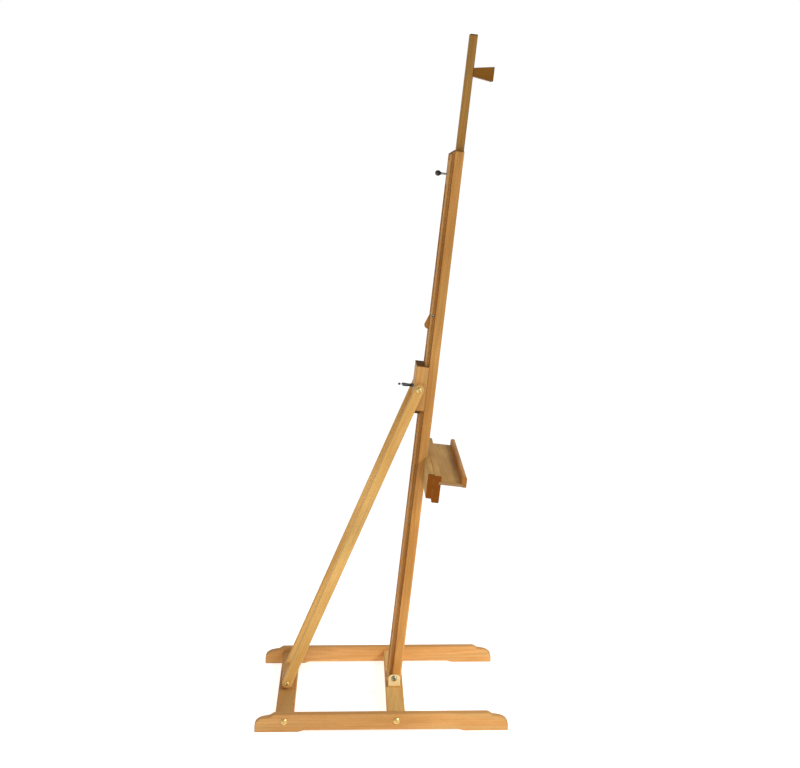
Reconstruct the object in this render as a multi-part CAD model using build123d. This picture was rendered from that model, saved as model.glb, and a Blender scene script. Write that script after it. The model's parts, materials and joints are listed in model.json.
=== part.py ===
from build123d import *

import os
from math import atan2, cos, degrees, hypot, radians, sin

# Folding studio easel in beech. A floor frame of two runners and two boards carries a pair of posts
# that tilt on brass brackets. Two braces run from the rear board to a block that slides on the posts
# and is locked by a wing screw. A canvas tray rides between the posts on a slotted rack, and a mast
# with a canvas clamp telescopes out of their top. Sizes are in millimetres.
#
# Frame: X to the right seen from the front, Y to the rear, Z up, origin on the floor at the middle of
# the base. Pieces of the tilting frame are drawn upright about the front pivot, where y = 0 is the
# middle of the posts and z = 0 is the pivot, and leaned() then puts them in place.

os.makedirs("parts", exist_ok=True)

# ---- driving dimensions ----
BASE_LENGTH = 550.0       # along Y
BASE_WIDTH = 530.0        # along X, over the runners
RUNNER_HEIGHT = 39.5
RUNNER_THICK = 20.0
PAD_LENGTH = 92.0         # each runner touches the floor on a pad at either end
PAD_RELIEF = 4.0

BOARD_DEPTH = 40.0
BOARD_BOTTOM = 12.5
BOARD_TOP = 30.5
FRONT_PIVOT_Y = -32.6
REAR_PIVOT_Y = 211.0
FRONT_PIVOT_Z = 51.5
REAR_PIVOT_Z = 47.5
LEAN = 6.7                # forward lean of the posts at rest, degrees

POST_IN = 20.0            # inner and outer side faces
POST_OUT = 48.0
POST_HALF_DEPTH = 15.0
POST_TOP = 1202.0
TONGUE_GROOVE = (-10.3, -1.7)     # y of the inner groove that guides mast and tray carrier
LIP_GROOVE = (5.5, 11.5)          # y of the outer groove that holds the slider block
GROOVE_DEPTH = 5.0

SLIDER_Z = 668.3          # height of the brace pivot on the slider block
SLIDER_ABOVE = 51.0
SLIDER_BELOW = 48.5
SLIDER_REAR = 33.5
CHEEK_OUT = 53.0
BRACE_PIVOT_Y = 23.0      # the same pivot, behind the posts' middle

BRACE_WIDTH = 22.0
BRACE_IN = 54.5
BRACE_OUT = 70.5
WASHER_THICK = 1.2

MAST_BOTTOM = 898.0
MAST_TOP = 1457.0
MAST_FRONT = -15.0
MAST_REAR = 2.0
CLAMP_Z = 1375.5
CLAMP_REACH = 45.0
CLAMP_HALF_WIDTH = 22.5
CLAMP_HALF_NEAR = 9.3      # half height at the mast, and at the far end
CLAMP_HALF_FAR = 16.3
LOCK_Z = 1147.5

TRAY_HALF_WIDTH = 240.0
BACK_RAIL_Y = (-22.0, -9.0)
BACK_RAIL_Z = (462.0, 515.5)
FRONT_RAIL_Y = (-38.3, -22.0)
FRONT_RAIL_Z = (454.0, 513.0)     # its top is the ledge that a canvas stands on
SHELF_FRONT = -82.7
SHELF_Z = (494.5, 501.0)
LIP_FRONT = -93.2
LIP_TOP = 516.5
HOUSING = 5.0             # depth of the grooves that the shelf is let into

RACK_Z = (468.0, 983.0)
RACK_Y = (3.0, 5.0)
RACK_PITCH = 16.0
LEVER_PIN = (10.3, 834.5)         # y, z

BOLT_R = 3.0              # M6
SCREW_R = 2.0             # wood screws
RUN = 0.06                # radial clearance of a pin that turns in its hole
GAP = 0.3                 # space between faces that move past each other


# ---- plain shapes ----
def block(x0, x1, y0, y1, z0, z1):
    return Pos((x0 + x1) / 2, (y0 + y1) / 2, (z0 + z1) / 2) * Box(x1 - x0, y1 - y0, z1 - z0)


def rod_x(radius, x0, x1, y, z):
    return Pos((x0 + x1) / 2, y, z) * Rot(Y=90) * Cylinder(radius, abs(x1 - x0))


def rod_y(radius, y0, y1, x, z):
    return Pos(x, (y0 + y1) / 2, z) * Rot(X=90) * Cylinder(radius, abs(y1 - y0))


def rod_z(radius, z0, z1, x, y):
    return Pos(x, y, (z0 + z1) / 2) * Cylinder(radius, abs(z1 - z0))


def side_plate(outline, x0, x1):
    """A face drawn in (y, z), made solid between two x."""
    return Pos(x0, 0, 0) * extrude(Plane.YZ * outline, amount=x1 - x0)


def eased(solid, radius, axes=(Axis.X, Axis.Y, Axis.Z)):
    """A sawn piece with its straight edges along the given axes rounded over."""
    edges = ShapeList(edge for axis in axes for edge in solid.edges().filter_by(axis))
    return fillet(edges, radius)


def cut_by(solid, tools):
    for tool in tools:
        solid -= tool
    return solid


def both_sides(solid):
    return [solid, mirror(solid, about=Plane.YZ)]


def leaned(solid):
    return Pos(0, FRONT_PIVOT_Y, FRONT_PIVOT_Z) * Rot(X=LEAN) * solid


# ---- fasteners, drawn with the head's seat at the origin and the head towards +Z ----
HEAD_TO_LEFT = Rot(Y=-90)
HEAD_TO_REAR = Rot(X=-90)
HEAD_DOWN = Rot(X=180)


def dome_bolt(head_radius, head_height, shank_radius, length):
    """Furniture bolt: a low dome on a thin rim, with a hexagon socket."""
    rim = 0.8
    rise = head_height - rim
    ball = (head_radius ** 2 + rise ** 2) / (2 * rise)
    dome = Pos(0, 0, rim + rise - ball) * Sphere(ball) & block(
        -head_radius, head_radius, -head_radius, head_radius, rim, head_height + 1)
    head = rod_z(head_radius, 0, rim, 0, 0) + dome
    socket_depth = head_height * 0.6
    socket = Pos(0, 0, head_height - socket_depth) * extrude(
        RegularPolygon(head_radius * 0.36, 6), amount=socket_depth)
    return head - socket + rod_z(shank_radius, -length, 0, 0, 0)


def flush_screw(head_radius, shank_radius, length):
    """Countersunk wood screw with a cross recess; the head's top is at the origin."""
    taper = head_radius - shank_radius
    head = Pos(0, 0, -taper / 2) * Cone(shank_radius, head_radius, taper)
    arm = head_radius * 0.55
    cross = block(-arm, arm, -0.4, 0.4, -1.2, 0) + block(-0.4, 0.4, -arm, arm, -1.2, 0)
    return head + rod_z(shank_radius, -length, -taper, 0, 0) - cross


def flush_hole(head_radius, shank_radius, length):
    taper = head_radius - shank_radius
    head = Pos(0, 0, -taper / 2) * Cone(shank_radius, head_radius, taper)
    return head + rod_z(shank_radius, -length, -taper, 0, 0)


def pan_screw(head_radius, head_height, shank_radius, length):
    head = fillet(rod_z(head_radius, 0, head_height, 0, 0).edges().sort_by(Axis.Z)[-1], head_height * 0.6)
    slot = block(-head_radius, head_radius, -0.5, 0.5, head_height * 0.45, head_height)
    return head - slot + rod_z(shank_radius, -length, 0, 0, 0)


def washer_x(x0, x1, y, z, outer, inner):
    return rod_x(outer, x0, x1, y, z) - rod_x(inner, x0, x1, y, z)


# ---- floor frame ----
RUNNER_BOLT_Z = BOARD_BOTTOM + 10
RUNNER_INNER = BASE_WIDTH / 2 - RUNNER_THICK
RUNNER_HEAD_R = 7.0
RUNNER_BOLT_LENGTH = 62.0
NUT_R = 5.0
NUT_X = RUNNER_INNER - 30.0       # cross dowel nuts lie this side of the joint
BOARD_CENTRES = (FRONT_PIVOT_Y, REAR_PIVOT_Y)


def runner_outline():
    """Side of a runner: an ogee toe at each end, and two floor pads."""
    toe = BASE_LENGTH / 2
    pad = toe - PAD_LENGTH
    top = RUNNER_HEIGHT
    half = [
        Line((0, PAD_RELIEF), (pad - 18, PAD_RELIEF)),
        Bezier((pad - 18, PAD_RELIEF), (pad - 9, PAD_RELIEF), (pad - 9, 0), (pad, 0)),
        Line((pad, 0), (toe, 0)),
        Line((toe, 0), (toe, 12)),
        Bezier((toe, 12), (toe, 24), (toe - 9.6, 29.5), (toe - 21, 31.5)),
        Line((toe - 21, 31.5), (toe - 32, 33.43)),
        Bezier((toe - 32, 33.43), (toe - 38, 34.48), (toe - 38.5, top), (toe - 47, top)),
        Line((toe - 47, top), (0, top)),
    ]
    curve = Curve() + half
    return make_face(curve + mirror(curve, about=Plane.YZ))


def runner():
    """The right-hand runner."""
    side = side_plate(runner_outline(), RUNNER_INNER, BASE_WIDTH / 2)
    rims = side.edges().filter_by(lambda e: abs(e.tangent_at(0.5).X) < 0.1 and e.center().Z > PAD_RELIEF + 2)
    side = fillet(rims, 2.0)
    for y in BOARD_CENTRES:
        side -= rod_x(BOLT_R, RUNNER_INNER, BASE_WIDTH / 2, y, RUNNER_BOLT_Z)
    return side


def runner_bolts():
    bolt = HEAD_TO_LEFT * dome_bolt(RUNNER_HEAD_R, 4.0, BOLT_R, RUNNER_BOLT_LENGTH)
    bolts = []
    for y in BOARD_CENTRES:
        bolts += both_sides(Pos(-BASE_WIDTH / 2, y, RUNNER_BOLT_Z) * bolt)
    return bolts


def nut_barrel(y, radius):
    return rod_z(radius, BOARD_BOTTOM, BOARD_TOP - 3, NUT_X, y)


def cross_dowel_nuts():
    """Barrel nuts that the runner bolts screw into, put in from below the boards."""
    nuts = []
    for y in BOARD_CENTRES:
        nut = nut_barrel(y, NUT_R) - rod_x(BOLT_R, NUT_X - NUT_R - 1, NUT_X + NUT_R + 1, y, RUNNER_BOLT_Z)
        nuts += both_sides(nut)
    return nuts


def cross_board(y):
    """A flat board between the runners, with its bolt and nut holes."""
    half = BOARD_DEPTH / 2
    board = eased(block(-RUNNER_INNER, RUNNER_INNER, y - half, y + half, BOARD_BOTTOM, BOARD_TOP), 2, [Axis.X])
    bolt_end = BASE_WIDTH / 2 - RUNNER_BOLT_LENGTH
    holes = rod_x(BOLT_R, bolt_end, RUNNER_INNER, y, RUNNER_BOLT_Z) + nut_barrel(y, NUT_R)
    for hole in both_sides(holes):
        board -= hole
    return board


# ---- front brackets ----
BRACKET_HALF_WIDTH = 13.3
BRACKET_THICK = 2.0
BRACKET_BEND_R = 4.5      # outer radius of the bend
BRACKET_TOP = 60.0
BRACKET_CORNER_R = 9.0
BRACKET_FOOT_X = 22.0
BRACKET_IN = POST_OUT + GAP
BRACKET_SCREW_X = (29.0, 41.0)
BRACKET_SCREW = (3.6, SCREW_R, 14.0)


def bracket_screw_places():
    return [Pos(x, FRONT_PIVOT_Y, BOARD_TOP + BRACKET_THICK) for x in BRACKET_SCREW_X]


def post_bracket():
    """The right-hand bracket: an upright cheek outside the post, its foot turned in under the post."""
    cheek = block(BRACKET_IN, BRACKET_IN + BRACKET_THICK, FRONT_PIVOT_Y - BRACKET_HALF_WIDTH,
                  FRONT_PIVOT_Y + BRACKET_HALF_WIDTH, BOARD_TOP, BRACKET_TOP)
    top_corners = cheek.edges().filter_by(Axis.X).sort_by(Axis.Z)[-2:]
    cheek = fillet(top_corners, BRACKET_CORNER_R)
    foot = block(BRACKET_FOOT_X, BRACKET_IN + BRACKET_THICK, FRONT_PIVOT_Y - BRACKET_HALF_WIDTH,
                 FRONT_PIVOT_Y + BRACKET_HALF_WIDTH, BOARD_TOP, BOARD_TOP + BRACKET_THICK)
    bracket = cheek + foot
    low_edges = bracket.edges().filter_by(Axis.Y).filter_by(lambda e: e.center().X > BRACKET_IN - 1)
    low_edges = low_edges.sort_by(Axis.Z)
    bracket = fillet(low_edges[0], BRACKET_BEND_R)
    inner_bend = bracket.edges().filter_by(Axis.Y).filter_by(
        lambda e: abs(e.center().X - BRACKET_IN) < 0.1 and abs(e.center().Z - BOARD_TOP - BRACKET_THICK) < 0.1)
    bracket = fillet(inner_bend, BRACKET_BEND_R - BRACKET_THICK)
    bracket -= rod_x(BOLT_R + RUN, BRACKET_IN, BRACKET_IN + BRACKET_THICK, FRONT_PIVOT_Y, FRONT_PIVOT_Z)
    for place in bracket_screw_places():
        bracket -= place * flush_hole(*BRACKET_SCREW)
    return bracket


def bracket_screws():
    screws = []
    for place in bracket_screw_places():
        screws += both_sides(place * flush_screw(*BRACKET_SCREW))
    return screws


def front_board():
    board = cross_board(FRONT_PIVOT_Y)
    for place in bracket_screw_places():
        for hole in both_sides(place * flush_hole(*BRACKET_SCREW)):
            board -= hole
    return board


# ---- rear hinge ----
HINGE_HALF_DEPTH = 12.5
HINGE_TOP = 58.0
HINGE_SCREW_X = 30.0
HINGE_SCREW = (4.2, 2.2, 34.0)    # head radius, shank radius, length
FOOT_SCREW_IN = 34.0
FOOT_HEAD_R = 4.5
FOOT_HEAD_SEAT = BRACE_OUT + GAP


def hinge_screw():
    """A long screw up through the rear board into the hinge block."""
    return Pos(HINGE_SCREW_X, REAR_PIVOT_Y, BOARD_BOTTOM) * HEAD_DOWN * flush_screw(*HINGE_SCREW)


def hinge_screw_hole():
    return Pos(HINGE_SCREW_X, REAR_PIVOT_Y, BOARD_BOTTOM) * HEAD_DOWN * flush_hole(*HINGE_SCREW)


def rear_board():
    board = cross_board(REAR_PIVOT_Y)
    for hole in both_sides(hinge_screw_hole()):
        board -= hole
    return board


def rear_hinge_block():
    """Block on the rear board that the brace feet turn on."""
    body = block(-CHEEK_OUT, CHEEK_OUT, REAR_PIVOT_Y - HINGE_HALF_DEPTH, REAR_PIVOT_Y + HINGE_HALF_DEPTH,
                 BOARD_TOP, HINGE_TOP)
    body = fillet(body.edges().filter_by(Axis.X).sort_by(Axis.Z)[-2:], 8)
    cuts = hinge_screw_hole() + rod_x(BOLT_R, FOOT_SCREW_IN, CHEEK_OUT, REAR_PIVOT_Y, REAR_PIVOT_Z)
    for hole in both_sides(cuts):
        body -= hole
    return body


def brace_foot_screws():
    screw = HEAD_TO_LEFT * dome_bolt(FOOT_HEAD_R, 3.0, BOLT_R, FOOT_HEAD_SEAT - FOOT_SCREW_IN)
    return both_sides(Pos(-FOOT_HEAD_SEAT, REAR_PIVOT_Y, REAR_PIVOT_Z) * screw)


def brace_foot_washers():
    return both_sides(washer_x(CHEEK_OUT, CHEEK_OUT + WASHER_THICK, REAR_PIVOT_Y, REAR_PIVOT_Z, 8, BOLT_R))


# ---- braces ----
SLIDER_Y_WORLD = FRONT_PIVOT_Y + BRACE_PIVOT_Y * cos(radians(LEAN)) - SLIDER_Z * sin(radians(LEAN))
SLIDER_Z_WORLD = FRONT_PIVOT_Z + BRACE_PIVOT_Y * sin(radians(LEAN)) + SLIDER_Z * cos(radians(LEAN))
BRACE_LENGTH = hypot(REAR_PIVOT_Y - SLIDER_Y_WORLD, SLIDER_Z_WORLD - REAR_PIVOT_Z)
BRACE_ANGLE = degrees(atan2(REAR_PIVOT_Y - SLIDER_Y_WORLD, SLIDER_Z_WORLD - REAR_PIVOT_Z))
OPEN_PIVOT_SLACK = 2.3    # the hole at the brace's top is this much larger than its bolt


def brace():
    """The right-hand brace, from its foot on the rear hinge to the slider block."""
    outline = Pos(0, BRACE_LENGTH / 2) * SlotCenterToCenter(BRACE_LENGTH, BRACE_WIDTH, rotation=90)
    bar = side_plate(outline, BRACE_IN, BRACE_OUT)
    bar = fillet(bar.edges().filter_by(lambda e: abs(e.tangent_at(0.5).X) < 0.1), 2.5)
    bar -= rod_x(BOLT_R + RUN, BRACE_IN, BRACE_OUT, 0, 0)
    bar -= rod_x(BOLT_R + OPEN_PIVOT_SLACK, BRACE_IN, BRACE_OUT, 0, BRACE_LENGTH)
    return Pos(0, REAR_PIVOT_Y, REAR_PIVOT_Z) * Rot(X=BRACE_ANGLE) * bar


# ---- posts and what ties them together ----
BRIDGE_Z = (1125.0, 1180.0)
BRIDGE_FRONT = 3.0
SPACER_Z = (35.0, 95.0)
DOWEL_R = 4.0
DOWEL_X = (9.0, 37.0)
DOWELS = [(0, 50), (0, 80), (9, 1135), (9, 1170)]        # y, z of each pair
PIVOT_BOLT_IN = 28.0
PIVOT_HEAD_SEAT = BRACKET_IN + BRACKET_THICK + GAP
PIN_R = 2.5
PIN_END = 40.0
STEM_R = 2.5
INSERT_R = 5.0
GUIDE_BOTTOM = 300.0


def frame_dowel_rods():
    return [rod_x(DOWEL_R, *DOWEL_X, y, z) for y, z in DOWELS]


def post():
    """The right-hand post."""
    side = Polyline((-POST_HALF_DEPTH, 0), (-POST_HALF_DEPTH, POST_TOP), (POST_HALF_DEPTH - 12.5, POST_TOP),
                    (POST_HALF_DEPTH, POST_TOP - 10), (POST_HALF_DEPTH, 0), close=True)
    face = make_face(side)
    face = fillet(face.vertices().filter_by(lambda v: v.Y > POST_TOP - 11), 2.0)
    bar = side_plate(face + Circle(POST_HALF_DEPTH), POST_IN, POST_OUT)
    long_edges = bar.edges().filter_by(Axis.Z)
    middle = (POST_IN + POST_OUT) / 2
    outer_front = long_edges.filter_by(lambda e: e.center().Y < 0 and e.center().X > middle)
    bar = fillet(outer_front, 4.5)
    rear_face = POST_HALF_DEPTH - 0.1
    others = bar.edges().filter_by(Axis.Z).filter_by(
        lambda e: e.center().Y > rear_face or e.center().X < POST_IN + 0.1)
    bar = fillet(others, 1.2)
    bar -= block(POST_OUT - GROOVE_DEPTH, POST_OUT + 1, *LIP_GROOVE, -POST_HALF_DEPTH - 1, POST_TOP + 1)
    bar -= block(POST_IN - 1, POST_IN + GROOVE_DEPTH, *TONGUE_GROOVE, GUIDE_BOTTOM, POST_TOP + 1)
    bar -= rod_x(BOLT_R, PIVOT_BOLT_IN, POST_OUT, 0, 0)
    bar -= rod_x(PIN_R, POST_IN, POST_OUT, *LEVER_PIN)
    bar -= rod_x(PIN_R + 0.7, PIN_END, POST_OUT, *LEVER_PIN)
    for dowel in frame_dowel_rods():
        bar -= dowel
    return bar


def bottom_spacer():
    spacer = eased(block(-POST_IN, POST_IN, -13, 13, *SPACER_Z), 2, [Axis.X])
    for dowel in frame_dowel_rods()[:2]:
        spacer -= dowel
        spacer -= mirror(dowel, about=Plane.YZ)
    return spacer


def top_bridge():
    """Ties the posts behind the mast and carries the mast's lock screw."""
    bridge = eased(block(-POST_IN, POST_IN, BRIDGE_FRONT, POST_HALF_DEPTH, *BRIDGE_Z), 2, [Axis.X])
    bridge -= rod_y(INSERT_R, BRIDGE_FRONT, POST_HALF_DEPTH, 0, LOCK_Z)
    for dowel in frame_dowel_rods()[2:]:
        bridge -= dowel
        bridge -= mirror(dowel, about=Plane.YZ)
    return bridge


def frame_dowels():
    return [rod for dowel in frame_dowel_rods() for rod in both_sides(dowel)]


def mast_lock_insert():
    return (rod_y(INSERT_R, BRIDGE_FRONT + 1, POST_HALF_DEPTH, 0, LOCK_Z)
            - rod_y(STEM_R + RUN, BRIDGE_FRONT, POST_HALF_DEPTH + 1, 0, LOCK_Z))


def post_pivot_bolts():
    bolt = HEAD_TO_LEFT * dome_bolt(6.5, 4.0, BOLT_R, PIVOT_HEAD_SEAT - PIVOT_BOLT_IN)
    return both_sides(Pos(-PIVOT_HEAD_SEAT, 0, 0) * bolt)


# ---- ratchet lever ----
LEVER_HALF_WIDTH = 9.0
LEVER_HUB_R = 4.9
LEVER_TIP = (17.8, 808.0)
LEVER_TIP_R = 7.5


def lever_pin():
    pin = rod_x(PIN_R, -PIN_END, PIN_END, *LEVER_PIN)
    return chamfer(pin.edges().filter_by(GeomType.CIRCLE), 0.5)


def lever_spacers():
    """Sleeves that keep the lever in the middle of its pin."""
    return both_sides(washer_x(LEVER_HALF_WIDTH + GAP, POST_IN, *LEVER_PIN, LEVER_HUB_R - 0.4, PIN_R))


def ratchet_lever():
    """A drop-shaped pawl that hangs from the pin, its tooth towards the rack."""
    hub = Pos(*LEVER_PIN) * Circle(LEVER_HUB_R)
    tip = Pos(*LEVER_TIP) * Circle(LEVER_TIP_R)
    pin_y, pin_z = LEVER_PIN
    tooth_tip = RACK_Y[1] + 0.5
    tooth = make_face(Polyline((tooth_tip, pin_z - 11), (tooth_tip, pin_z - 13.5), (pin_y, pin_z - 17),
                               (pin_y, pin_z - 6), close=True))
    drop = make_hull(hub.edges() + tip.edges())
    body = side_plate(drop + tooth, -LEVER_HALF_WIDTH, LEVER_HALF_WIDTH)
    for side in (-1, 1):
        body -= block(*sorted((side * 6, side * (LEVER_HALF_WIDTH + 1))), RACK_Y[1], RACK_Y[1] + 2.2,
                      pin_z - 18, pin_z - 6)
    return body - rod_x(PIN_R + RUN, -LEVER_HALF_WIDTH, LEVER_HALF_WIDTH, *LEVER_PIN)


# ---- mast and canvas clamp ----
MAST_HALF_WIDTH = POST_IN - 0.5
TONGUE_X = POST_IN + GROOVE_DEPTH - 0.5
TONGUE_Y = (TONGUE_GROOVE[0] + GAP, TONGUE_GROOVE[1] - GAP)
CLAMP_SCREW_X = 10.0
CLAMP_SCREW = (4.0, SCREW_R, 45.0)


def clamp_screw_places():
    return [Pos(side * CLAMP_SCREW_X, MAST_REAR, CLAMP_Z) * HEAD_TO_REAR for side in (-1, 1)]


def mast():
    bar = eased(block(-MAST_HALF_WIDTH, MAST_HALF_WIDTH, MAST_FRONT, MAST_REAR, MAST_BOTTOM, MAST_TOP), 1.5)
    bar += block(-TONGUE_X, TONGUE_X, *TONGUE_Y, MAST_BOTTOM + 3, POST_TOP - 8)
    for place in clamp_screw_places():
        bar -= place * flush_hole(*CLAMP_SCREW)
    return bar


def top_clamp():
    """Canvas clamp: a wedge of wood that grows away from the mast."""
    front = MAST_FRONT - CLAMP_REACH
    outline = make_face(Polyline(
        (MAST_FRONT, CLAMP_Z - CLAMP_HALF_NEAR), (MAST_FRONT, CLAMP_Z + CLAMP_HALF_NEAR),
        (front, CLAMP_Z + CLAMP_HALF_FAR), (front, CLAMP_Z - CLAMP_HALF_FAR), close=True))
    wedge = eased(side_plate(outline, -CLAMP_HALF_WIDTH, CLAMP_HALF_WIDTH), 2.0, [Axis.X, Axis.Z])
    for place in clamp_screw_places():
        wedge -= place * flush_hole(*CLAMP_SCREW)
    return wedge


def clamp_screws():
    return [place * flush_screw(*CLAMP_SCREW) for place in clamp_screw_places()]


KNOB_R = 6.5
KNOB_Y = 35.5


def mast_knob_stem():
    return rod_y(STEM_R, MAST_REAR + GAP, KNOB_Y - KNOB_R + 1.5, 0, LOCK_Z)


def mast_knob_ball():
    neck = rod_y(3.8, KNOB_Y - KNOB_R - 0.5, KNOB_Y, 0, LOCK_Z)
    ball = Pos(0, KNOB_Y, LOCK_Z) * Sphere(KNOB_R) + neck
    return ball - mast_knob_stem()


# ---- tray ----
CARRIER_Z = (462.0, 558.0)
CARRIER_Y = (BACK_RAIL_Y[1], RACK_Y[0])
CARRIER_TONGUE_Y = (BACK_RAIL_Y[1], TONGUE_Y[1])
CARRIER_SCREWS = [(side * 15.8, z) for side in (-1, 1) for z in (472.0, 506.0)]
CARRIER_SCREW = (3.6, SCREW_R, 32.0)
RAIL_DOWEL_X = (-200.0, -80.0, 80.0, 200.0)
RAIL_DOWEL_Z = 476.0
RACK_SCREW_Z = (480.0, 511.0, 544.0)
RACK_SCREW_LENGTH = 16.0
BRAD_X = (-210.0, -105.0, 0.0, 105.0, 210.0)
BRAD_R = 0.8


def carrier_screw_places():
    return [Pos(x, CARRIER_Y[1], z) * HEAD_TO_REAR for x, z in CARRIER_SCREWS]


def carrier_screw_holes():
    return [place * flush_hole(*CARRIER_SCREW) for place in carrier_screw_places()]


def rack_screw_places():
    return [Pos(0, RACK_Y[1], z) * HEAD_TO_REAR for z in RACK_SCREW_Z]


def rack_screw():
    return pan_screw(3.5, 2.0, SCREW_R, RACK_SCREW_LENGTH)


def rack_screw_holes():
    return [rod_y(SCREW_R, RACK_Y[1] - RACK_SCREW_LENGTH, RACK_Y[1], 0, z) for z in RACK_SCREW_Z]


def tray_carrier():
    """Block that slides between the posts and holds the tray and the rack."""
    body = block(-MAST_HALF_WIDTH, MAST_HALF_WIDTH, *CARRIER_Y, *CARRIER_Z)
    body += block(-TONGUE_X, TONGUE_X, *CARRIER_TONGUE_Y, *CARRIER_Z)
    return cut_by(body, carrier_screw_holes() + rack_screw_holes())


def tray_back_rail():
    """Stands behind the canvas; notched over the posts' front corners."""
    rail = eased(block(-TRAY_HALF_WIDTH, TRAY_HALF_WIDTH, *BACK_RAIL_Y, *BACK_RAIL_Z), 1.2, [Axis.X])
    notch = block(POST_IN - GAP, POST_OUT + GAP, -POST_HALF_DEPTH - GAP, BACK_RAIL_Y[1] + 1,
                  BACK_RAIL_Z[0] - 1, BACK_RAIL_Z[1] + 1)
    rail = cut_by(rail, both_sides(notch))
    return cut_by(rail, carrier_screw_holes() + rail_dowels() + rack_screw_holes())


def tray_front_rail():
    """Its top is the canvas ledge; the shelf is let into its front."""
    rail = eased(block(-TRAY_HALF_WIDTH, TRAY_HALF_WIDTH, *FRONT_RAIL_Y, *FRONT_RAIL_Z), 2.5, [Axis.X])
    rail -= block(-TRAY_HALF_WIDTH, TRAY_HALF_WIDTH, FRONT_RAIL_Y[0], FRONT_RAIL_Y[0] + HOUSING, *SHELF_Z)
    return cut_by(rail, carrier_screw_holes() + rail_dowels())


def rail_dowels():
    joint = BACK_RAIL_Y[0]
    return [rod_y(3, joint - 10, joint + 7, x, RAIL_DOWEL_Z) for x in RAIL_DOWEL_X]


def lip_brads():
    """Small brads through the lip into the shelf's edge."""
    z = sum(SHELF_Z) / 2
    return [rod_y(BRAD_R, LIP_FRONT + 0.2, SHELF_FRONT + 8, x, z) for x in BRAD_X]


def tray_shelf():
    shelf_y = (SHELF_FRONT - HOUSING, FRONT_RAIL_Y[0] + HOUSING)
    shelf = block(-TRAY_HALF_WIDTH, TRAY_HALF_WIDTH, *shelf_y, *SHELF_Z)
    return cut_by(shelf, lip_brads())


def tray_lip():
    """Half-round strip along the shelf's front."""
    lip = block(-TRAY_HALF_WIDTH, TRAY_HALF_WIDTH, LIP_FRONT, SHELF_FRONT, SHELF_Z[0] - 0.5, LIP_TOP)
    long_edges = lip.edges().filter_by(Axis.X).sort_by(Axis.Z)
    lip = fillet(long_edges[2:], 4.2)
    lip = fillet(lip.edges().filter_by(Axis.X).sort_by(Axis.Z)[:2], 1.2)
    lip -= block(-TRAY_HALF_WIDTH, TRAY_HALF_WIDTH, SHELF_FRONT - HOUSING, SHELF_FRONT, *SHELF_Z)
    return cut_by(lip, lip_brads())


def rack_strip():
    """Steel strip with a ladder of slots for the lever's tooth."""
    strip = block(-12, 12, *RACK_Y, *RACK_Z)
    strip = fillet(strip.edges().filter_by(Axis.Y), 4)
    slots = int((RACK_Z[1] - CARRIER_Z[1] - 20) / RACK_PITCH)
    for index in range(slots):
        z = RACK_Z[1] - 12 - index * RACK_PITCH
        strip -= block(-7, 7, RACK_Y[0] - 1, RACK_Y[1] + 1, z - 3, z + 3)
    return cut_by(strip, rack_screw_holes())


# ---- slider block and its wing screw ----
PAD_HALF = (34.0, 15.0)           # half width and half height of the clamp pad
PAD_Y = (POST_HALF_DEPTH + GAP, 20.5)
WING_STEM_R = 3.0
BOLT_IN = 38.0
BOLT_SEAT = BRACE_OUT + GAP


def slider_block():
    """Runs behind the posts; its lips hook into their outer grooves."""
    z0, z1 = SLIDER_Z - SLIDER_BELOW, SLIDER_Z + SLIDER_ABOVE
    body = block(-CHEEK_OUT, CHEEK_OUT, POST_HALF_DEPTH + GAP, SLIDER_REAR, z0, z1)
    body += block(-POST_OUT, POST_OUT, POST_HALF_DEPTH + GAP, SLIDER_REAR - 2, z0 - 7, z0)
    lip_front, lip_back = LIP_GROOVE[0] + GAP, LIP_GROOVE[1] - GAP
    cheek = block(POST_OUT + GAP, CHEEK_OUT, lip_front, SLIDER_REAR, z0, z1)
    lip = block(POST_OUT - GROOVE_DEPTH + GAP, CHEEK_OUT, lip_front, lip_back, z0, z1)
    for piece in both_sides(cheek + lip):
        body += piece
    outer = body.edges().filter_by(Axis.Z).filter_by(lambda e: abs(e.center().X) > CHEEK_OUT - 0.1)
    body = fillet(outer, 1.5)
    half_width, half_height = PAD_HALF
    body -= block(-half_width - GAP, half_width + GAP, POST_HALF_DEPTH, PAD_Y[1] + GAP,
                  SLIDER_Z - half_height - GAP, SLIDER_Z + half_height + GAP)
    body -= rod_y(INSERT_R, POST_HALF_DEPTH, SLIDER_REAR, 0, SLIDER_Z)
    for hole in both_sides(rod_x(BOLT_R, BOLT_IN, CHEEK_OUT, BRACE_PIVOT_Y, SLIDER_Z)):
        body -= hole
    return body


def clamp_pad():
    """Wooden pad that the wing screw presses on the posts."""
    half_width, half_height = PAD_HALF
    return eased(block(-half_width, half_width, *PAD_Y, SLIDER_Z - half_height, SLIDER_Z + half_height), 1.5,
                 [Axis.Y])


def slider_insert():
    return (rod_y(INSERT_R, PAD_Y[1] + GAP, SLIDER_REAR, 0, SLIDER_Z)
            - rod_y(WING_STEM_R + RUN, POST_HALF_DEPTH, SLIDER_REAR + 1, 0, SLIDER_Z))


def brace_top_bolts():
    bolt = HEAD_TO_LEFT * dome_bolt(7.0, 4.0, BOLT_R, BOLT_SEAT - BOLT_IN)
    return both_sides(Pos(-BOLT_SEAT, BRACE_PIVOT_Y, SLIDER_Z) * bolt)


def brace_top_washers():
    return both_sides(washer_x(CHEEK_OUT, CHEEK_OUT + WASHER_THICK, BRACE_PIVOT_Y, SLIDER_Z, 8, BOLT_R))


WING_HUB = (34.2, 49.0)           # y of the hub's two ends
WING_MIDDLE = (9.5, 48.0)         # x and y of a wing's middle
TAIL_BEAD = (66.0, 2.8)           # y and radius of the bead on the tail


def wing_screw_stem():
    return rod_y(WING_STEM_R, PAD_Y[1] + GAP, WING_HUB[0] + 6, 0, SLIDER_Z)


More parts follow.
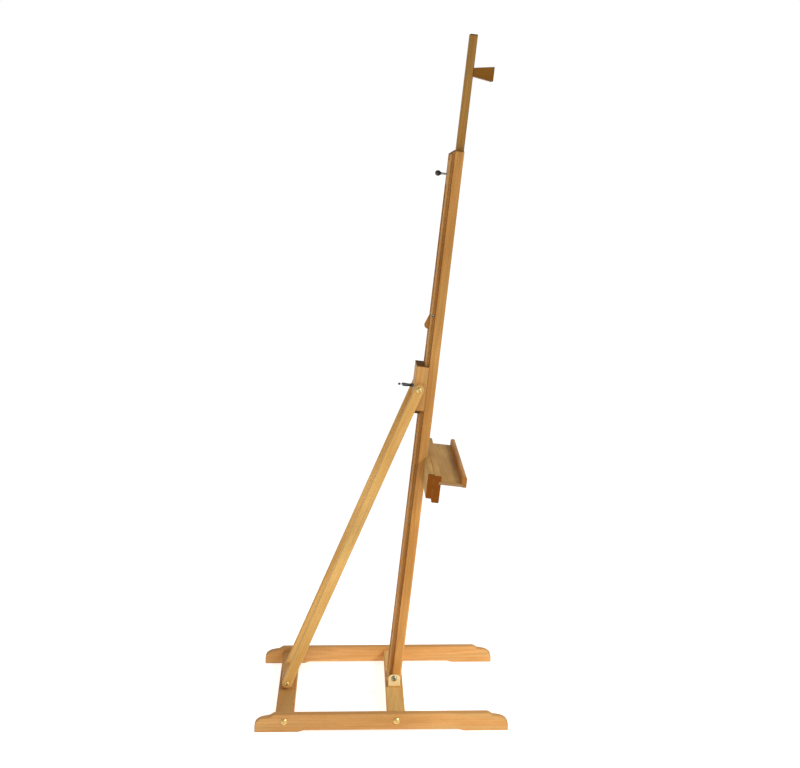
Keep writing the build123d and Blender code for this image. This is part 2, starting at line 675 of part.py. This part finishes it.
def wing_screw_head():
    """Tapered hub with two swept wings, and a thin tail that ends in a bead."""
    hub_length = WING_HUB[1] - WING_HUB[0]
    hub = Pos(0, sum(WING_HUB) / 2, SLIDER_Z) * Rot(X=-90) * Cone(4.8, 2.2, hub_length)
    outline = Pos(*WING_MIDDLE) * Rot(Z=-38) * Ellipse(6.0, 13.5)
    wing = Pos(0, 0, SLIDER_Z - 1.5) * extrude(outline, amount=3.0)
    wing = fillet(wing.edges(), 0.8)
    bead_y, bead_r = TAIL_BEAD
    bead = Pos(0, bead_y, SLIDER_Z) * Sphere(bead_r)
    tail = rod_y(1.0, WING_HUB[1] - 3, bead_y, 0, SLIDER_Z)
    right, left = both_sides(wing)
    return hub + right + left + tail + bead - wing_screw_stem()


# ---- the nodes ----
def export_node(name, solids):
    shape = Compound(children=list(solids)) if isinstance(solids, (list, tuple)) else solids
    export_step(shape, f"parts/{name}.step")


def export_pair(name, right_solid):
    right, left = both_sides(right_solid)
    export_node(f"right_{name}", right)
    export_node(f"left_{name}", left)


export_pair("runner", runner())
export_node("front_cross_board", front_board())
export_node("rear_cross_board", rear_board())
export_node("runner_bolts", runner_bolts())
export_node("cross_dowel_nuts", cross_dowel_nuts())
export_pair("post_bracket", post_bracket())
export_node("bracket_screws", bracket_screws())
export_node("rear_hinge_block", rear_hinge_block())
export_node("hinge_block_screws", both_sides(hinge_screw()))
export_node("brace_foot_screws", brace_foot_screws())
export_node("brace_foot_washers", brace_foot_washers())
export_pair("brace", brace())

LEANED = {
    "bottom_spacer": bottom_spacer(),
    "top_bridge": top_bridge(),
    "frame_dowels": frame_dowels(),
    "mast_lock_insert": mast_lock_insert(),
    "post_pivot_bolts": post_pivot_bolts(),
    "lever_pin": lever_pin(),
    "lever_spacers": lever_spacers(),
    "ratchet_lever": ratchet_lever(),
    "mast": mast(),
    "top_clamp": top_clamp(),
    "clamp_screws": clamp_screws(),
    "mast_knob_stem": mast_knob_stem(),
    "mast_knob_ball": mast_knob_ball(),
    "tray_carrier": tray_carrier(),
    "tray_back_rail": tray_back_rail(),
    "tray_front_rail": tray_front_rail(),
    "rail_dowels": rail_dowels(),
    "tray_shelf": tray_shelf(),
    "tray_lip": tray_lip(),
    "lip_brads": lip_brads(),
    "carrier_screws": [place * flush_screw(*CARRIER_SCREW) for place in carrier_screw_places()],
    "rack_strip": rack_strip(),
    "rack_screws": [place * rack_screw() for place in rack_screw_places()],
    "slider_block": slider_block(),
    "clamp_pad": clamp_pad(),
    "slider_insert": slider_insert(),
    "brace_top_bolts": brace_top_bolts(),
    "brace_top_washers": brace_top_washers(),
    "wing_screw_stem": wing_screw_stem(),
    "wing_screw_head": wing_screw_head(),
}
right_post, left_post = both_sides(post())
export_node("right_post", leaned(right_post))
export_node("left_post", leaned(left_post))
for name, solids in LEANED.items():
    if isinstance(solids, list):
        export_node(name, [leaned(solid) for solid in solids])
    else:
        export_node(name, leaned(solids))
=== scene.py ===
import json
from math import atan2, cos, pi, radians, sin

import bpy
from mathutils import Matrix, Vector


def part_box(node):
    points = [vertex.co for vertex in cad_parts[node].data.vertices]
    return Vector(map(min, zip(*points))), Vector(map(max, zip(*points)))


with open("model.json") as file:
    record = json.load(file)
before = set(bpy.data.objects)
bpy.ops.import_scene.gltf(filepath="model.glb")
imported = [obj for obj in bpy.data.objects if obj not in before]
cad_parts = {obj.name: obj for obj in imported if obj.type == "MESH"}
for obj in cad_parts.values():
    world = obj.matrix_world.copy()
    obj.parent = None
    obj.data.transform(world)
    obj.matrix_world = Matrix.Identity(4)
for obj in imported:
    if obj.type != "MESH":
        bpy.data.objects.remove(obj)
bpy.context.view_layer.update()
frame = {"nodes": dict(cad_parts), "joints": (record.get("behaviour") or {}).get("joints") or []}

# Looks of a folding studio easel in lacquered beech, with brass and zinc-plated fittings. Each wooden
# piece gets its own cut of one procedural beech, with the grain along the piece. Sizes are in metres.


# ---- what the frame says ----
def joint(name):
    return next(j for j in frame["joints"] if j["name"] == name)


def middle(node):
    low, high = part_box(node)
    return (low + high) / 2


rise = Vector(joint("tray_slide")["axis"])
LEAN = atan2(-rise.y, rise.z)               # the posts lean forward by this much

brace_foot = Vector(joint("left_brace_swing")["pos_m"])
brace_head = middle("brace_top_bolts")
BRACE_LEAN = atan2(brace_foot.y - brace_head.y, brace_head.z - brace_foot.z)


# ---- nodes of a material, in short form ----
class Tree:
    """A material's or a group's node tree, with short calls for the nodes it needs."""

    def __init__(self, tree):
        self.tree = tree

    def add(self, kind, inputs=None, **settings):
        node = self.tree.nodes.new("ShaderNode" + kind)
        for key, value in settings.items():
            setattr(node, key, value)
        for key, value in (inputs or {}).items():
            self.feed(node.inputs[key], value)
        return node

    def feed(self, socket, value):
        if isinstance(value, bpy.types.NodeSocket):
            self.tree.links.new(value, socket)
        else:
            socket.default_value = value

    def maths(self, operation, *values):
        node = self.add("Math", operation=operation)
        for socket, value in zip(node.inputs, values):
            self.feed(socket, value)
        return node.outputs[0]

    def vectors(self, operation, *values):
        node = self.add("VectorMath", operation=operation)
        for socket, value in zip(node.inputs, values):
            self.feed(socket, value)
        return node.outputs["Value"] if operation in ("DOT_PRODUCT", "LENGTH") else node.outputs["Vector"]

    def spread(self, value, low, high, to_low=0.0, to_high=1.0, smooth=False):
        """value from low..high to to_low..to_high, clamped."""
        kind = "SMOOTHSTEP" if smooth else "LINEAR"
        return self.add("MapRange", {"Value": value, "From Min": low, "From Max": high, "To Min": to_low,
                                     "To Max": to_high}, interpolation_type=kind).outputs[0]

    def mix(self, share, first, second, blend="MIX"):
        node = self.add("Mix", data_type="RGBA", blend_type=blend, clamp_result=False)
        self.feed(node.inputs[0], share)
        for socket, value in ((node.inputs[6], first), (node.inputs[7], second)):
            self.feed(socket, rgba(value) if isinstance(value, tuple) else value)
        return node.outputs[2]

    def noise(self, vector, scale, detail=2.0, rough=0.5, distortion=0.0):
        return self.add("TexNoise", {"Vector": vector, "Scale": scale, "Detail": detail, "Roughness": rough,
                                     "Distortion": distortion}).outputs[0]

    def scaled(self, vector, x, y, z):
        return self.vectors("MULTIPLY", vector, (x, y, z))


def rgba(colour):
    return (*colour, 1.0)


def srgb(red, green, blue):
    """A colour read as 0-255 on a screen, as the shader wants it."""
    def linear(level):
        level /= 255
        return level / 12.92 if level <= 0.04045 else ((level + 0.055) / 1.055) ** 2.4
    return tuple(linear(level) for level in (red, green, blue))


def new_material(name):
    material = bpy.data.materials.new(name)
    material.use_nodes = True
    material.node_tree.nodes.clear()
    tree = Tree(material.node_tree)
    shader = tree.add("BsdfPrincipled")
    tree.add("OutputMaterial", {"Surface": shader.outputs[0]})
    return material, tree, shader


def edge_shade_and_wear(tree, radius):
    """1 on edges and corners, 0 on the flats, from how far a rounded normal turns away. It places painted
    edge shade as well as wear.
    """
    rounded = tree.add("Bevel", {"Radius": radius}, samples=4).outputs[0]
    flat = tree.add("NewGeometry").outputs["Normal"]
    turn = tree.vectors("DOT_PRODUCT", rounded, flat)
    return tree.spread(turn, 0.995, 0.90, smooth=True)


# ---- beech ----
RING_SPACING = 0.0034
HEART = (0.021, 0.047, 0.0)        # middle of the log, beside the piece


def beech_group():
    """Beech as a function of place: z of Vector runs along the grain."""
    group = bpy.data.node_groups.new("beech_figure", "ShaderNodeTree")
    face = group.interface
    face.new_socket("Vector", in_out="INPUT", socket_type="NodeSocketVector")
    for name in ("Band", "Fibre", "Fleck", "Patch", "Streak"):
        face.new_socket(name, in_out="OUTPUT", socket_type="NodeSocketFloat")
    tree = Tree(group)
    place = group.nodes.new("NodeGroupInput").outputs[0]
    wander = tree.noise(tree.scaled(place, 14, 14, 2.2), 1.0, 2.0)
    warp = tree.vectors("MULTIPLY", tree.vectors("SUBTRACT", tree.add("CombineXYZ", {
        "X": wander, "Y": tree.noise(tree.scaled(place, 9, 9, 1.6), 1.3, 1.0)}).outputs[0], (0.5, 0.5, 0)),
        (0.022, 0.022, 0))
    bent = tree.vectors("ADD", place, warp)
    from_heart = tree.vectors("MULTIPLY", tree.vectors("SUBTRACT", bent, HEART), (1, 1, 0))
    ring = tree.maths("DIVIDE", tree.vectors("LENGTH", from_heart), RING_SPACING)
    saw = tree.maths("FRACT", ring)
    late = tree.spread(saw, 0.35, 0.96, smooth=True)
    early = tree.spread(saw, 0.0, 0.08, 1.0, 0.0)
    strength = tree.spread(tree.noise(tree.scaled(place, 60, 60, 3), 1.0, 2.0), 0.35, 0.7, 0.35, 1.0)
    band = tree.maths("MULTIPLY", tree.maths("MAXIMUM", late, early), strength)
    fibre = tree.noise(tree.scaled(place, 1.0, 1.0, 0.03), 1500, 3.0, 0.6)
    fleck = tree.spread(tree.noise(tree.scaled(place, 1.0, 1.0, 0.16), 1900, 1.0, 0.4), 0.655, 0.72)
    patch = tree.noise(tree.scaled(place, 1.0, 1.0, 0.22), 22, 3.0, 0.55)
    streak = tree.noise(tree.scaled(place, 1.0, 1.0, 0.05), 75, 2.0, 0.5)
    out = group.nodes.new("NodeGroupOutput")
    figure = {"Band": band, "Fibre": fibre, "Fleck": fleck, "Patch": patch, "Streak": streak}
    for name, value in figure.items():
        group.links.new(value, out.inputs[name])
    return group


FIGURE = beech_group()


# What the tone is multiplied by in the light, dark and olive parts of the figure.
LIGHT_TINT = (1.12, 1.13, 1.12)
DARK_TINT = (0.82, 0.73, 0.56)
OLIVE_TINT = (0.86, 0.94, 0.92)

EDGE_WIDTH = 0.0026                # how far in the darker edges reach: painted edge shade, with some handled grime
EASED_EDGE = 0.0008
GRAIN_DEPTH = 0.00012
DARKENING_FADE = (0.0012, -0.0004)     # where a darkening starts and is full, from its own limit


def shade(colour, factor):
    return tuple(level * factor for level in colour)


def tinted(colour, tint):
    return tuple(level * share for level, share in zip(colour, tint))


def beech(name, turn, seed, tone, sawn, dark_below=None, dark_above=None):
    """One cut of lacquered beech. turn brings the grain upright and seed shifts the figure. tone is the
    wood's own colour and sawn that of its ends. Past either height along the grain it is darker: painted
    shade at the foot of the slider block, a darker tip on the mast."""
    material, tree, shader = new_material(name)
    coordinates = tree.add("TexCoord")
    place, normal = coordinates.outputs["Object"], coordinates.outputs["Normal"]
    shift = (0.137 * seed, 0.059 * seed, 0.71 * seed)
    along = tree.add("Mapping", {"Vector": place, "Rotation": turn}).outputs[0]
    grain = tree.vectors("ADD", along, shift)
    facing = tree.add("Mapping", {"Vector": normal, "Rotation": turn}, vector_type="NORMAL").outputs[0]
    figure = tree.add("Group", {"Vector": grain}, node_tree=FIGURE).outputs
    on_end = tree.spread(tree.maths("ABSOLUTE", tree.add("SeparateXYZ", {"Vector": facing}).outputs[2]),
                         0.55, 0.9, smooth=True)

    light, dark, olive = (tinted(tone, tint) for tint in (LIGHT_TINT, DARK_TINT, OLIVE_TINT))
    wood = tree.mix(tree.spread(figure["Patch"], 0.34, 0.66), light, dark)
    wood = tree.mix(tree.spread(figure["Streak"], 0.48, 0.66, 0.0, 0.75, smooth=True), wood, olive)
    wood = tree.mix(tree.spread(figure["Streak"], 0.46, 0.32, 0.0, 0.75, smooth=True), wood, dark)
    drift = tree.noise(tree.scaled(grain, 0.3, 0.3, 1.0), 3.4, 1.0)
    wood = tree.mix(tree.spread(drift, 0.44, 0.60, 0.0, 0.40, smooth=True), wood, shade(dark, 0.78))
    wood = tree.mix(tree.maths("MULTIPLY", figure["Band"], 0.34), wood, shade(dark, 0.62))
    wood = tree.mix(tree.spread(figure["Fibre"], 0.35, 0.72, 0.0, 0.28), wood, shade(dark, 0.70))
    wood = tree.mix(tree.maths("MULTIPLY", figure["Fleck"], 0.55), wood, shade(dark, 0.36))

    pores = tree.noise(place, 1600, 2.0)
    end_grain = tree.mix(tree.maths("MULTIPLY", figure["Band"], 0.6), sawn, shade(sawn, 0.55))
    end_grain = tree.mix(tree.spread(pores, 0.5, 0.75, 0.0, 0.5), end_grain, shade(sawn, 0.5))
    colour = tree.mix(on_end, wood, end_grain)
    height_along = tree.add("SeparateXYZ", {"Vector": along}).outputs[2]
    # Darken past either limit: painted shade at the foot of the slider block, a darker tip on the mast.
    for limit, side in ((dark_below, 1), (dark_above, -1)):
        if limit is not None:
            start, full = (limit + side * reach for reach in DARKENING_FADE)
            darkened = tree.spread(height_along, start, full, smooth=True)
            colour = tree.mix(darkened, colour, shade(dark, 0.16))

    edge = edge_shade_and_wear(tree, EDGE_WIDTH)
    rubbed = tree.spread(tree.noise(place, 55, 3.0), 0.45, 0.62)
    # Painted shade along edges and corners, with some handled grime: the edges are darkened.
    colour = tree.mix(tree.maths("MULTIPLY", edge, 0.70), colour, shade(dark, 0.22))
    colour = tree.mix(tree.maths("MULTIPLY", tree.maths("MULTIPLY", edge, rubbed), 0.22), colour,
                      tuple(level ** 0.85 for level in light))
    tree.feed(shader.inputs["Base Color"], colour)

    smears = tree.noise(place, 34, 3.0, 0.6)
    rough = tree.spread(smears, 0.3, 0.7, 0.44, 0.62)
    rough = tree.maths("ADD", rough, tree.maths("MULTIPLY", figure["Fleck"], 0.15))
    rough = tree.maths("ADD", rough, tree.maths("MULTIPLY", on_end, 0.16))
    tree.feed(shader.inputs["Roughness"], tree.maths("ADD", rough, tree.maths("MULTIPLY", edge, 0.25)))
    shader.inputs["Specular IOR Level"].default_value = 0.10
    shader.inputs["Coat Weight"].default_value = 0.03
    shader.inputs["Coat Roughness"].default_value = 0.35
    shader.inputs["IOR"].default_value = 1.48

    height = tree.maths("SUBTRACT", tree.maths("MULTIPLY", figure["Fibre"], 0.5), figure["Fleck"])
    height = tree.maths("SUBTRACT", height, tree.maths("MULTIPLY", figure["Band"], 0.25))
    height = tree.maths("ADD", height, tree.maths("MULTIPLY", tree.noise(place, 120, 2.0), 0.5))
    rounded = tree.add("Bevel", {"Radius": EASED_EDGE}, samples=4).outputs[0]
    bump = tree.add("Bump", {"Height": height, "Normal": rounded, "Strength": 0.55,
                             "Distance": GRAIN_DEPTH})
    tree.feed(shader.inputs["Normal"], bump.outputs[0])
    return material


# Turns that bring a piece's grain upright.
UPRIGHT = (-LEAN, 0, 0)                      # posts, mast, rack side of the tray
ACROSS = (-LEAN, -pi / 2, 0)                 # tray rails, along X on the leaning frame
LEVEL_ACROSS = (0, -pi / 2, 0)               # floor boards
FORE_AND_AFT = (pi / 2, 0, 0)                # runners
OUTWARD = (pi / 2 - LEAN, 0, 0)              # the canvas clamp, along its reach
BRACE = (-BRACE_LEAN, 0, 0)

# The woods differ a little, as boards of different trees do.
HONEY = srgb(213, 156, 88)
AMBER = srgb(204, 146, 76)
STRAW = srgb(240, 192, 118)
ROSE = srgb(218, 165, 100)
SAND = srgb(224, 170, 108)
WHEAT = srgb(244, 196, 124)
UMBER = srgb(204, 160, 90)
OCHRE = srgb(182, 134, 68)
RUSSET = srgb(146, 98, 32)
BROWN_END = srgb(118, 80, 34)
ORANGE_END = srgb(134, 70, 6)
CHESTNUT_END = srgb(170, 108, 46)
PALE_END = srgb(168, 128, 84)


def height_along_posts(node, top):
    """How far up the leaning frame a node's lowest or highest corner lies."""
    low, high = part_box(node)
    y, z = (high.y, low.z) if not top else (low.y, high.z)
    return y * -sin(LEAN) + z * cos(LEAN)


block_bottom = height_along_posts("slider_block", top=False)
mast_top = height_along_posts("mast", top=True)

# Node: the turn of its grain, its tone, and the tone of its sawn ends.
WOODS = {
    "left_post": (UPRIGHT, HONEY, BROWN_END), "right_post": (UPRIGHT, AMBER, BROWN_END),
    "mast": (UPRIGHT, OCHRE, BROWN_END), "top_clamp": (OUTWARD, RUSSET, RUSSET),
    "left_brace": (BRACE, STRAW, STRAW), "right_brace": (BRACE, STRAW, STRAW),
    "left_runner": (FORE_AND_AFT, SAND, PALE_END), "right_runner": (FORE_AND_AFT, SAND, PALE_END),
    "front_cross_board": (LEVEL_ACROSS, WHEAT, PALE_END), "rear_cross_board": (LEVEL_ACROSS, ROSE, PALE_END),
    "rear_hinge_block": (LEVEL_ACROSS, HONEY, ROSE), "slider_block": (UPRIGHT, ROSE, BROWN_END),
    "clamp_pad": (ACROSS, AMBER, BROWN_END), "bottom_spacer": (UPRIGHT, AMBER, BROWN_END),
    "top_bridge": (UPRIGHT, HONEY, BROWN_END), "ratchet_lever": (UPRIGHT, AMBER, BROWN_END),
    "tray_carrier": (UPRIGHT, HONEY, BROWN_END), "tray_back_rail": (ACROSS, UMBER, ORANGE_END),
    "tray_front_rail": (ACROSS, UMBER, ORANGE_END), "tray_shelf": (ACROSS, UMBER, PALE_END),
    "tray_lip": (ACROSS, HONEY, CHESTNUT_END), "frame_dowels": (LEVEL_ACROSS, STRAW, PALE_END),
    "rail_dowels": (OUTWARD, STRAW, PALE_END),
}
# The slider block's foot is darkened as painted shade; the mast's tip is simply made darker.
BLOCK_PAINTED_SHADE = 0.007                # height of the dark step under the slider block
MAST_DARK_TIP = 0.004                 # height of the dark tip of the mast
DARKENED_ENDS = {
    "slider_block": {"dark_below": block_bottom + BLOCK_PAINTED_SHADE},
    "mast": {"dark_above": mast_top - MAST_DARK_TIP},
}


# ---- metals and plastic ----
RIM_WIDTH = 0.0006                 # how far in a fitting's rubbed bright edges or painted rim shade reach
EASED_RIM = 0.0004


def metal(name, colour, dull, rough, grain_axis=None, tarnish=0.35, edge_tone=1.25, metallic=1.0):
    """Plated metal: clouded with age, finely scratched, with its edges rubbed bright or, with edge_tone
    below 1, darkened as painted shade.
    """
    material, tree, shader = new_material(name)
    place = tree.add("TexCoord").outputs["Object"]
    cloud = tree.spread(tree.noise(place, 160, 4.0, 0.6), 0.38, 0.68)
    spots = tree.spread(tree.noise(place, 900, 2.0), 0.64, 0.72)
    stretch = (1, 1, 1) if grain_axis is None else tuple(0.03 if axis == grain_axis else 1 for axis in "XYZ")
    scratches = tree.noise(tree.scaled(place, *stretch), 2600, 2.0, 0.7)
    edge = edge_shade_and_wear(tree, RIM_WIDTH)
    aged = tree.mix(tree.maths("MULTIPLY", cloud, tarnish), colour, dull)
    aged = tree.mix(tree.maths("MULTIPLY", spots, tarnish), aged, tuple(v * 0.5 for v in dull))
    rim = tuple(min(1.0, v * edge_tone) for v in colour)
    # Rims are brighter for rubbed wear, or with edge_tone below 1 darker as painted shade.
    tree.feed(shader.inputs["Base Color"], tree.mix(tree.maths("MULTIPLY", edge, 0.6), aged, rim))
    shader.inputs["Metallic"].default_value = metallic
    level = tree.maths("ADD", tree.spread(scratches, 0.3, 0.7, rough - 0.05, rough + 0.08),
                       tree.maths("MULTIPLY", cloud, 0.10))
    tree.feed(shader.inputs["Roughness"], level)
    rounded = tree.add("Bevel", {"Radius": EASED_RIM}, samples=4).outputs[0]
    bump = tree.add("Bump", {"Height": scratches, "Normal": rounded, "Strength": 0.35, "Distance": 0.00003})
    tree.feed(shader.inputs["Normal"], bump.outputs[0])
    return material


def moulded_plastic(name, colour):
    """Dark phenolic ball: glossy, with faint handling marks."""
    material, tree, shader = new_material(name)
    place = tree.add("TexCoord").outputs["Object"]
    handled = tree.noise(place, 240, 4.0, 0.6)
    tree.feed(shader.inputs["Base Color"], tree.mix(tree.spread(handled, 0.4, 0.7), colour,
                                                    tuple(v * 1.9 for v in colour)))
    tree.feed(shader.inputs["Roughness"], tree.spread(handled, 0.35, 0.7, 0.16, 0.34))
    shader.inputs["Coat Weight"].default_value = 0.3
    shader.inputs["Coat Roughness"].default_value = 0.12
    bump = tree.add("Bump", {"Height": handled, "Strength": 0.2, "Distance": 0.00005})
    tree.feed(shader.inputs["Normal"], bump.outputs[0])
    return material


# An edge_tone below 1 paints a ring of shade round the rims of the brass, pale brass and nickel fittings.
BRASS = metal("satin_brass", srgb(232, 204, 134), srgb(170, 132, 68), 0.32, edge_tone=0.25)
PALE_BRASS = metal("rolled_pale_brass", srgb(255, 236, 180), srgb(240, 214, 150), 0.5, grain_axis="Y",
                   tarnish=0.12, edge_tone=0.7, metallic=0.45)
NICKEL = metal("worn_nickel", srgb(170, 162, 132), srgb(104, 98, 74), 0.34, edge_tone=0.4)
ZINC = metal("zinc_plate", srgb(176, 182, 180), srgb(112, 118, 116), 0.34)
RACK_STEEL = metal("drawn_zinc_plate", srgb(186, 190, 188), srgb(128, 132, 130), 0.30, grain_axis="Z")
DARK_STEEL = metal("blackened_steel", srgb(96, 104, 100), srgb(46, 52, 48), 0.36)
PLASTIC = moulded_plastic("black_plastic", (0.010, 0.014, 0.011))

FITTINGS = {
    PALE_BRASS: ("left_post_bracket", "right_post_bracket"),
    BRASS: ("runner_bolts", "brace_top_bolts", "brace_foot_screws", "mast_lock_insert", "slider_insert",
            "brace_top_washers", "brace_foot_washers", "bracket_screws"),
    NICKEL: ("post_pivot_bolts",),
    ZINC: ("lever_pin", "lever_spacers", "clamp_screws", "carrier_screws", "rack_screws",
           "hinge_block_screws", "cross_dowel_nuts", "lip_brads", "mast_knob_stem"),
    RACK_STEEL: ("rack_strip",),
    DARK_STEEL: ("wing_screw_stem", "wing_screw_head"),
    PLASTIC: ("mast_knob_ball",),
}


def paint(node, material):
    piece = frame["nodes"][node]
    piece.data.materials.clear()
    piece.data.materials.append(material)


for number, (node, (turn, tone, end)) in enumerate(WOODS.items()):
    paint(node, beech(f"beech_{node}", turn, number + 1, tone, end, **DARKENED_ENDS.get(node, {})))
for material, nodes in FITTINGS.items():
    for node in nodes:
        paint(node, material)


# ---- floor, light and camera ----
FLOOR_HALF = 60.0
FLOOR_GLOW = 0.60
ROOM_LIGHT = 0.50
KEY_POWER = 230
KEY_CONE = radians(36)
KEY_SOFTNESS = 0.45                # radius of the lamp
KEY_PLACE = (-1.5, -1.8, 1.7)
KEY_TARGET = (0.15, -0.2, 0.0)
FILL_POWER = 3
FILL_SIDE = 1.6
FILL_PLACE = (-2.8, 1.6, 1.5)
FILL_TARGET = (0, 0, 0.8)
CAMERA_PLACE = (-4.085, 0.055, 1.3075)
CAMERA_DOWN = radians(8.15)
CAMERA_YAW = radians(1.43)         # towards the easel's front
LENS = 82.35                       # both in mm
SENSOR = 36


def studio_floor():
    """A white sheet, wide enough to fill the view from any side and lit from within a little."""
    half = FLOOR_HALF
    mesh = bpy.data.meshes.new("floor")
    corners = [(-half, -half, 0), (half, -half, 0), (half, half, 0), (-half, half, 0)]
    mesh.from_pydata(corners, [], [(0, 1, 2, 3)])
    floor = bpy.data.objects.new("floor", mesh)
    bpy.context.scene.collection.objects.link(floor)
    material, tree, shader = new_material("floor_paper")
    paper = tree.noise(tree.add("TexCoord").outputs["Object"], 3.0)
    tree.feed(shader.inputs["Base Color"], tree.mix(paper, srgb(252, 252, 252), srgb(250, 250, 250)))
    shader.inputs["Roughness"].default_value = 1.0
    shader.inputs["Specular IOR Level"].default_value = 0.0
    shader.inputs["Emission Color"].default_value = (1, 1, 1, 1)
    shader.inputs["Emission Strength"].default_value = FLOOR_GLOW
    mesh.materials.append(material)


def aimed(lamp, place, target):
    lamp.location = place
    lamp.rotation_euler = (Vector(target) - Vector(place)).to_track_quat("-Z", "Y").to_euler()
    lamp.visible_camera = False
    bpy.context.scene.collection.objects.link(lamp)


def studio_light():
    """An even white room, a soft spot on the base from the camera's side, and a weak lamp beyond it."""
    world = bpy.data.worlds.new("studio")
    bpy.context.scene.world = world
    world.use_nodes = True
    world.node_tree.nodes.clear()
    tree = Tree(world.node_tree)
    seen = tree.add("LightPath").outputs["Is Camera Ray"]
    room = tree.add("Background", {"Color": (1, 1, 1, 1), "Strength": ROOM_LIGHT})
    backdrop = tree.add("Background", {"Color": (1, 1, 1, 1), "Strength": 1.0})
    mixed = tree.add("MixShader", {0: seen, 1: room.outputs[0], 2: backdrop.outputs[0]})
    tree.add("OutputWorld", {"Surface": mixed.outputs[0]})

    key = bpy.data.lights.new("key", "SPOT")
    key.energy = KEY_POWER
    key.spot_size = KEY_CONE
    key.spot_blend = 1.0
    key.shadow_soft_size = KEY_SOFTNESS
    aimed(bpy.data.objects.new("key", key), KEY_PLACE, KEY_TARGET)

    fill = bpy.data.lights.new("fill", "AREA")
    fill.size = FILL_SIDE
    fill.energy = FILL_POWER
    aimed(bpy.data.objects.new("fill", fill), FILL_PLACE, FILL_TARGET)


def camera():
    data = bpy.data.cameras.new("camera")
    data.lens = LENS
    data.sensor_width = SENSOR
    eye = bpy.data.objects.new("camera", data)
    eye.location = CAMERA_PLACE
    level = cos(CAMERA_DOWN)
    ahead = Vector((cos(CAMERA_YAW) * level, -sin(CAMERA_YAW) * level, -sin(CAMERA_DOWN)))
    eye.rotation_euler = ahead.to_track_quat("-Z", "Y").to_euler()
    bpy.context.scene.collection.objects.link(eye)
    bpy.context.scene.camera = eye


studio_floor()
studio_light()
camera()
bpy.context.scene.view_settings.view_transform = "Standard"
